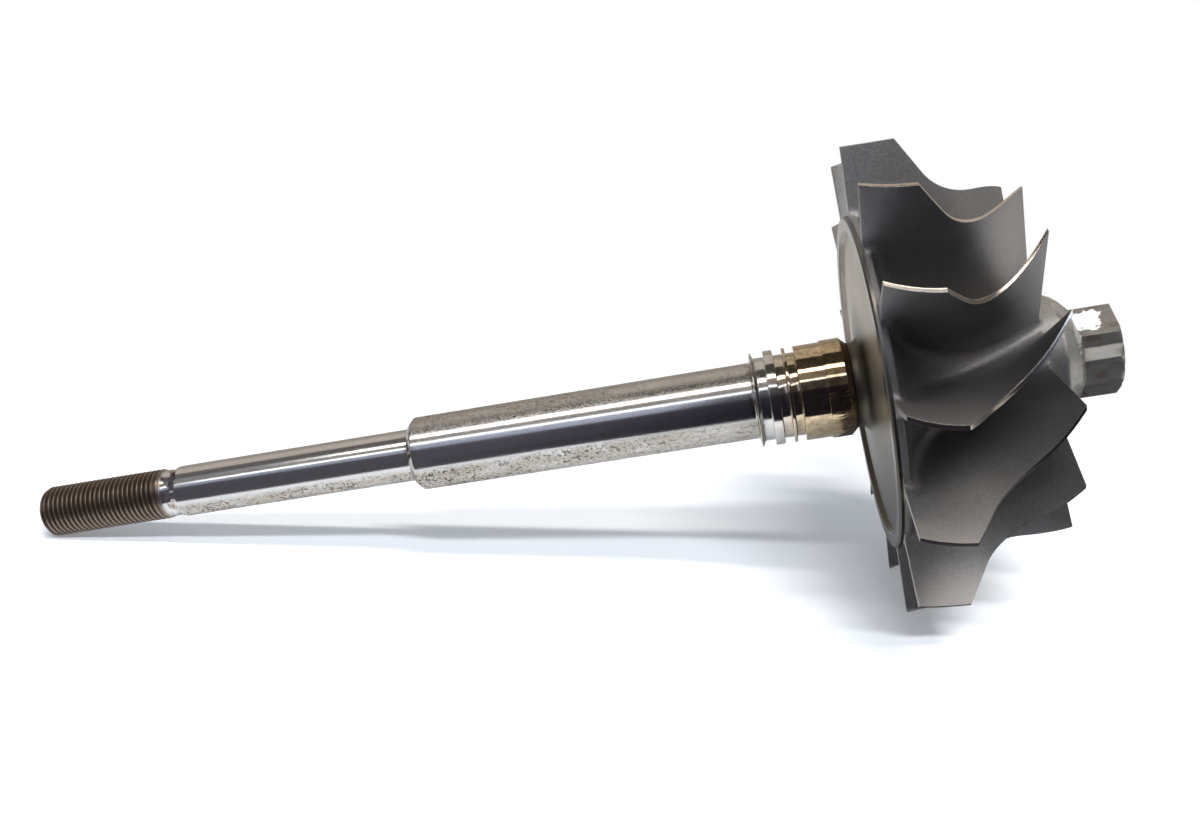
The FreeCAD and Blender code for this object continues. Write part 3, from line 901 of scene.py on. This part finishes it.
def cast_finish():
    """Grit-blasted nickel alloy with a fine grain, with painted shade in front, near the hub and on the
    lowest blades, and painted light on the low blade tips in front.
    """
    mat = Finish("blasted_casting")
    broad = mat.noise((0.08, 0.08, 0.08), 4)
    colour = mat.mix(broad, (0.27, 0.262, 0.262), (0.38, 0.368, 0.362))
    grain = mat.noise((3.2, 3.2, 3.2), 3, 0.6, shift=5.0)
    colour = mat.mix(mat.ease(grain, 0.40, 0.62), colour, mat.mix(0.35, colour, (0.58, 0.555, 0.53)))
    warm = mat.ease(mat.noise((0.06, 0.06, 0.06), 3, shift=15.0), 0.45, 0.65)
    colour = mat.mix(mat.maths("MULTIPLY", warm, 0.3), colour, (0.42, 0.375, 0.34))
    # Painted shade: darker on the upper blades in front and in the passages near the hub.
    height = mat.maths("SUBTRACT", mat.z, mat.maths("MULTIPLY", mat.radius, 0.45))
    painted_shade = mat.times(mat.ease(mat.y, -20.0, -5.0, 0.8, 0.0), mat.ease(height, -17.0, -5.0))
    throat = mat.times(mat.ease(mat.radius, 18.0, 34.0, 0.55, 0.0), mat.ease(mat.z, -8.0, 4.0, 1.0, 0.0))
    throat = mat.times(throat, mat.ease(mat.x, DISC + 24.0, DISC + 30.0, 1.0, 0.0))
    painted_shade = mat.maths("MAXIMUM", painted_shade, throat)
    colour = mat.mix(mat.times(painted_shade, mat.ease(broad, 0.3, 0.7, 0.85, 1.0)), colour, (0.085, 0.082, 0.088))
    # Painted light: paler on the low blade tips in front.
    painted_light = mat.times(mat.ease(mat.radius, 32.0, 46.0, 0.0, 0.7), mat.ease(mat.z, -20.0, -8.0, 1.0, 0.0))
    painted_light = mat.times(painted_light, mat.ease(mat.y, -22.0, -14.0, 1.0, 0.0), mat.ease(mat.z, -37.0, -31.0))
    # Painted shade on the lowest blades, under the wheel.
    under = mat.times(mat.ease(mat.z, -26.0, -18.0, 0.55, 0.0), mat.ease(mat.x, DISC + 16.0, DISC + 22.0))
    colour = mat.mix(under, colour, (0.10, 0.096, 0.10))
    colour = mat.mix(painted_light, colour, (0.70, 0.64, 0.60))
    fine = mat.noise((5.5, 5.5, 5.5), 2, shift=25.0)
    normal = mat.bump(fine, 0.035)
    normal = mat.bump(mat.noise((0.7, 0.7, 0.7), 3, shift=35.0), 0.05, normal)
    rough = mat.mix_value(grain, 0.40, 0.54)
    mat.set(Base_Color=colour, Metallic=0.9, Roughness=rough, Normal=normal)
    return mat.material


def ground_finish():
    """The ground edges of the blades, brighter than the casting, with a painted highlight near white on one
    blade's tip.
    """
    mat = Finish("ground_edge")
    colour = mat.mix(mat.noise((0.5, 0.5, 0.5), 3), (0.42, 0.37, 0.32), (0.70, 0.62, 0.54))
    # Painted highlight: near white on one blade's tip.
    tip = mat.times(mat.ease(mat.x, DISC + 19.0, DISC + 25.0), mat.ease(mat.z, 1.0, 4.0))
    tip = mat.times(tip, mat.ease(mat.z, 15.0, 18.0, 1.0, 0.0), mat.ease(mat.y, -20.0, -16.0, 1.0, 0.0))
    colour = mat.mix(tip, colour, (0.90, 0.93, 0.97))
    rings = mat.noise((6.0, 0.3, 0.3), 2)
    normal = mat.bump(rings, 0.006)
    mat.set(Base_Color=colour, Metallic=1.0, Roughness=0.27, Normal=normal)
    return mat.material


def turned_finish():
    """The machined back: bright band, turned recess darker towards the bottom with painted shade round the
    neck, heat-tinted boss.
    """
    mat = Finish("turned_back")
    behind = mat.maths("SUBTRACT", mat.x, DISC)
    band = mat.ease(mat.radius, RECESS_RADIUS - 0.25, RECESS_RADIUS + 0.1)
    dull = mat.mix(mat.noise((0.1, 0.12, 0.12), 4), (0.27, 0.23, 0.18), (0.43, 0.375, 0.30))
    bright = mat.mix(mat.noise((0.2, 0.25, 0.25), 3, shift=9.0), (0.115, 0.103, 0.093), (0.19, 0.17, 0.152))
    colour = mat.mix(band, dull, bright)
    # Darker towards the bottom of the back, and painted shade round the neck.
    dark = mat.ease(mat.z, -10.0, 10.0, 0.82, 0.0)
    near = mat.ease(mat.radius, 8.0, 17.0, 0.86, 0.0)
    colour = mat.mix(mat.maths("MAXIMUM", dark, near), colour, (0.05, 0.042, 0.03))
    boss = mat.ease(behind, -3.4, -2.7, 1.0, 0.0)
    colour = mat.mix(mat.maths("MULTIPLY", boss, 0.9), colour, straw_tint(mat))
    rough = mat.mix_value(boss, mat.mix_value(band, 0.44, 0.30), 0.08)
    turning = mat.node("TexNoise", noise_dimensions="1D")
    mat.put(mat.times(mat.radius, mat.ease(boss, 0.0, 1.0, 5.0, 0.0)), turning.inputs["W"])
    turning.inputs["Detail"].default_value = 3.0
    normal = mat.bump(mat.times(turning.outputs["Fac"], mat.ease(behind, -3.4, -2.7)), 0.010)
    mat.set(Base_Color=colour, Metallic=mat.ease(boss, 0.0, 1.0, 0.9, 1.0), Roughness=rough, Normal=normal)
    return mat.material


# The bright patch on the nose, ground metal painted near white as a highlight: the way it faces, and for each
# of its two parts the middle and half length along the axis, then the place and half width across
PATCH_FACING = math.radians(128)
PATCHES = ((DRIVE_START + 1.9, 2.9, -0.2, 2.9), (DRIVE_START - 0.4, 0.6, 3.6, 3.0))
PATCH_LEAN = (0.0, -0.42, -0.12)


def nose_finish():
    """The nose: cast grey with stains, and a patch bright from hand grinding and painted near white as a
    highlight.
    """
    mat = Finish("stained_nose")
    colour = mat.mix(mat.noise((0.25, 0.25, 0.25), 4), (0.38, 0.37, 0.34), (0.56, 0.545, 0.505))
    drive = mat.ease(mat.x, NOSE_START + 1.0, DRIVE_START + 0.5)
    colour = mat.mix(mat.maths("MULTIPLY", drive, 0.45), colour, (0.17, 0.16, 0.14))
    stains = mat.ease(mat.noise((0.3, 0.5, 0.5), 5, shift=13.0), 0.48, 0.66)
    colour = mat.mix(mat.maths("MULTIPLY", stains, 0.6), colour, (0.20, 0.13, 0.10))
    rough = mat.mix_value(mat.noise((0.8, 0.8, 0.8), 3), 0.34, 0.48)

    side = mat.maths("MULTIPLY", mat.y, -math.sin(PATCH_FACING))
    down = mat.maths("ADD", side, mat.maths("MULTIPLY", mat.z, math.cos(PATCH_FACING)))
    ragged = mat.noise((0.5, 0.5, 0.5), 4, 0.6, shift=43.0)
    patch = 0.0
    for middle, length, over, height in PATCHES:
        along = mat.maths("DIVIDE", mat.maths("SUBTRACT", mat.x, middle), length)
        across = mat.maths("DIVIDE", mat.maths("SUBTRACT", down, over), height)
        reach = mat.maths("ADD", mat.times(along, along), mat.times(across, across))
        reach = mat.maths("ADD", reach, mat.maths("MULTIPLY", ragged, 3.4))
        patch = mat.maths("MAXIMUM", mat.ease(reach, 2.3, 2.6, 1.0, 0.0), patch)
    patch = mat.maths("MULTIPLY", patch, mat.ease(mat.y, -1.5, -0.5, 1.0, 0.0))
    # Painted highlight: the ground patch near white.
    colour = mat.mix(patch, colour, (0.93, 0.93, 0.92))
    normal = mat.bump(mat.noise((2.2, 2.2, 2.2), 3, shift=23.0), 0.03)
    tilted = mat.node("VectorMath", operation="ADD")
    mat.put(normal, tilted.inputs[0])
    lean = mat.node("VectorMath", operation="SCALE")
    lean.inputs[0].default_value = PATCH_LEAN
    mat.put(patch, lean.inputs["Scale"])
    mat.put(lean.outputs[0], tilted.inputs[1])
    even = mat.node("VectorMath", operation="NORMALIZE")
    mat.put(tilted.outputs[0], even.inputs[0])
    mat.set(Base_Color=colour, Metallic=0.9, Roughness=rough, Normal=even.outputs[0])
    return mat.material


# Studio

FLOOR_RADIUS = 1.3
BOWL_HEIGHT = 0.55
BOWL_CURVE = 0.45
BOWL_STEPS = 8
FLOOR_SEGMENTS = 96
WHITE_START = 0.11
WHITE_FULL = 0.26


def pale_finish(name, colour, share):
    """A pale surface that the camera and reflections see near white, and that keeps shadows.

    Out from the object it turns to plain white, so that the wall doesn't show.
    """
    mat = Nodes(name)
    diffuse = mat.node("BsdfDiffuse")
    mat.put(colour, diffuse.inputs["Color"])
    white = mat.node("Emission")
    path = mat.node("LightPath").outputs
    seen = mat.maths("MAXIMUM", path["Is Camera Ray"], path["Is Glossy Ray"])
    seen = mat.maths("MAXIMUM", seen, path["Is Transmission Ray"])
    distance = mat.node("VectorMath", operation="LENGTH")
    mat.put(mat.node("TexCoord").outputs["Object"], distance.inputs[0])
    part = mat.ease(distance.outputs["Value"], WHITE_START, WHITE_FULL, share, 1.0)
    both = mat.node("MixShader")
    mat.put(mat.maths("MULTIPLY", seen, part), both.inputs["Fac"])
    mat.put(diffuse.outputs[0], both.inputs[1])
    mat.put(white.outputs[0], both.inputs[2])
    return mat.show(both.outputs[0])


def make_floor():
    """A pale table that sweeps up into a low wall all round."""
    outline = [(FLOOR_RADIUS / 4, 0.0), (FLOOR_RADIUS, 0.0)]
    for step in range(1, BOWL_STEPS + 1):
        turn = TURN / 4 * step / BOWL_STEPS
        outline.append((FLOOR_RADIUS + BOWL_CURVE * math.sin(turn), BOWL_CURVE * (1 - math.cos(turn))))
    outline.append((FLOOR_RADIUS + BOWL_CURVE, BOWL_HEIGHT))
    work = bmesh.new()
    rows = []
    for radius, height in outline:
        row = []
        for step in range(FLOOR_SEGMENTS):
            angle = TURN * step / FLOOR_SEGMENTS
            row.append(work.verts.new((radius * math.cos(angle), radius * math.sin(angle), height)))
        rows.append(row)
    work.faces.new(rows[0])
    for first, second in zip(rows, rows[1:]):
        for place in range(FLOOR_SEGMENTS):
            after = (place + 1) % FLOOR_SEGMENTS
            work.faces.new((first[place], second[place], second[after], first[after]))
    for face in work.faces:
        face.smooth = True
    mesh = bpy.data.meshes.new("table")
    work.to_mesh(mesh)
    work.free()
    floor = bpy.data.objects.new("table", mesh)
    bpy.context.scene.collection.objects.link(floor)
    mesh.materials.append(pale_finish("pale_table", (0.90, 0.92, 0.96), 0.2))


ARCH_HEIGHT = 0.03
ARCH_HALF = 1.2
ARCH_RAMP = (-0.62, -0.02)


def glow(name, left, right, ends):
    """A plain light whose colour runs evenly between two places along x."""
    mat = Nodes(name)
    parts = mat.node("SeparateXYZ")
    mat.put(mat.node("TexCoord").outputs["Object"], parts.inputs["Vector"])
    light = mat.node("Emission")
    mat.put(mat.mix(mat.ramp(parts.outputs["X"], *ends), left, right), light.inputs["Color"])
    return mat.show(light.outputs[0])


def make_card(name, corners, faces, left, right, ends=ARCH_RAMP):
    """A card that only shows in reflections, as a photographer's flag or panel does."""
    mesh = bpy.data.meshes.new(name)
    mesh.from_pydata(corners, [], faces)
    card = bpy.data.objects.new(name, mesh)
    bpy.context.scene.collection.objects.link(card)
    mesh.materials.append(glow(name, left, right, ends))
    card.visible_camera = False
    card.visible_diffuse = False
    card.visible_shadow = False


# What the steel mirrors above it: elevations from the front, distance, where it starts and ends along
# the shaft, and the radiance at the left and at the right
ARCH = (
    ("front_gap", 14, 44, 1.0, -ARCH_HALF, ARCH_HALF, (0.15, 0.15, 0.17), (0.08, 0.08, 0.09)),
    ("cool_glow", 20, 40.5, 0.99, -ARCH_HALF, -0.13, (0.42, 0.47, 0.60), (0.66, 0.73, 0.90)),
    ("cool_strip", 40.5, 44.5, 0.98, -0.8, 0.8, (5.2, 5.4, 5.6), (3.4, 3.7, 4.2)),
    ("middle_gap", 44, 63, 1.0, -ARCH_HALF, ARCH_HALF, (0.34, 0.32, 0.31), (0.30, 0.27, 0.25)),
    ("warm_strip", 63, 71.5, 1.0, -0.65, 0.65, (7.4, 7.2, 6.8), (7.8, 7.5, 7.0)),
    ("top_gap", 71.5, 104, 1.0, -ARCH_HALF, ARCH_HALF, (0.17, 0.16, 0.155), (0.05, 0.045, 0.04)),
    ("back_panel", 104, 142, 1.0, -ARCH_HALF, ARCH_HALF, (0.72, 0.66, 0.60), (0.72, 0.66, 0.60)),
    ("low_back", 142, 181, 1.0, -ARCH_HALF, ARCH_HALF, (0.46, 0.42, 0.37), (0.46, 0.42, 0.37)),
)
ARCH_ENDS = (("left_end", -ARCH_HALF, (0.10, 0.10, 0.11)), ("right_end", ARCH_HALF, (0.15, 0.145, 0.14)))


def arch_edge(x, low, high, distance, steps):
    edge = []
    for step in range(steps + 1):
        up = math.radians(low + (high - low) * step / steps)
        edge.append((x, -distance * math.cos(up), ARCH_HEIGHT + distance * math.sin(up)))
    return edge


def make_arch():
    """Strips bent round the shaft's direction, closed by a dark card at each end."""
    for name, low, high, distance, start, end, left, right in ARCH:
        steps = max(1, round((high - low) / 6))
        corners = arch_edge(start, low, high, distance, steps) + arch_edge(end, low, high, distance, steps)
        faces = [(step, step + 1, step + steps + 2, step + steps + 1) for step in range(steps)]
        make_card(name, corners, faces, left, right)
    for name, x, colour in ARCH_ENDS:
        corners = arch_edge(x, 0, 180, 1.0, 24)
        make_card(name, corners, [tuple(range(len(corners)))], colour, colour)


# The dark flag in front: its near line on the table, how far out it lies and how high it stands
FLAG_LINE = ((-0.35, -0.004), (-0.10, -0.012), (-0.058, -0.024), (0.0, -0.043), (0.35, -0.043))
FLAG_FAR = -0.17
FLAG_TOP = 0.10
CARD_LIFT = 0.0006
# Corners of a dark card on the table under the wheel: a painted shadow that only reflections see.
WHEEL_SHADOW_CORNERS = ((0.064, -0.05), (0.18, -0.05), (0.18, 0.07), (0.064, 0.07))


def make_flag():
    """Darkness in front, on the table and then upright, and a dark card on the table under the wheel as a
    painted shadow that only reflections see.
    """
    corners = [(x, y, CARD_LIFT) for x, y in FLAG_LINE]
    corners += [(x, FLAG_FAR, CARD_LIFT) for x, y in FLAG_LINE]
    corners += [(x, FLAG_FAR, FLAG_TOP) for x, y in FLAG_LINE]
    count = len(FLAG_LINE)
    faces = []
    for row in (0, count):
        for place in range(count - 1):
            start = row + place
            faces.append((start, start + 1, start + count + 1, start + count))
    make_card("front_flag", corners, faces, (0.11, 0.105, 0.13), (0.02, 0.018, 0.03), (-0.05, 0.05))
    under = [(x, y, CARD_LIFT) for x, y in WHEEL_SHADOW_CORNERS]
    make_card("under_wheel", under, [(0, 1, 2, 3)], (0.10, 0.10, 0.12), (0.10, 0.10, 0.12))


LAMP_TARGET = Vector((0.02, 0.0, 0.03))


def make_lamp(name, elevation, distance, size, strength, colour, slide):
    """A long lamp in front of the shaft, at an elevation, slid along x. Reflections show the arch instead."""
    lamp = bpy.data.lights.new(name, "AREA")
    lamp.shape = "RECTANGLE"
    lamp.size, lamp.size_y = size
    lamp.energy = strength * math.pi * lamp.size * lamp.size_y
    lamp.color = colour
    thing = bpy.data.objects.new(name, lamp)
    thing.visible_glossy = False
    bpy.context.scene.collection.objects.link(thing)
    up = math.radians(elevation)
    away = Vector((0.0, -math.cos(up), math.sin(up)))
    thing.location = LAMP_TARGET + away * distance
    thing.rotation_euler = (LAMP_TARGET - thing.location).to_track_quat("-Z", "Y").to_euler()
    thing.location.x += slide


def make_studio():
    make_floor()
    make_arch()
    make_flag()
    make_lamp("warm_tube", 67, 0.85, (0.45, 0.06), 78, (1.0, 0.96, 0.90), 0.2)
    make_lamp("cool_tube", 49, 0.9, (0.45, 0.05), 105, (0.93, 0.97, 1.0), 0.12)
    world = bpy.data.worlds.new("room")
    world.use_nodes = True
    background = world.node_tree.nodes["Background"]
    background.inputs["Color"].default_value = (0.78, 0.88, 1.0, 1.0)
    background.inputs["Strength"].default_value = 0.40
    bpy.context.scene.world = world


# Where the photograph was taken from: millimetres in the frame, and degrees about x, y and z
CAMERA_AT = (25.97, -207.7, 90.1)
CAMERA_TURN = (73.9957, -1.4595, 6.0817)
CAMERA_LENS = 34.73
CAMERA_SHIFT = (0.0234, 0.0091)


def make_camera():
    data = bpy.data.cameras.new("camera")
    data.lens = CAMERA_LENS
    data.shift_x, data.shift_y = CAMERA_SHIFT
    data.clip_start = 0.005
    data.clip_end = 20.0
    camera = bpy.data.objects.new("camera", data)
    camera.location = Vector(CAMERA_AT) * MM
    camera.rotation_euler = [math.radians(turn) for turn in CAMERA_TURN]
    bpy.context.scene.collection.objects.link(camera)
    bpy.context.scene.camera = camera


make_camera()
make_shaft(steel_finish())
make_wheel([cast_finish(), ground_finish(), turned_finish(), nose_finish()])
make_studio()
bpy.context.scene.view_settings.view_transform = "Standard"
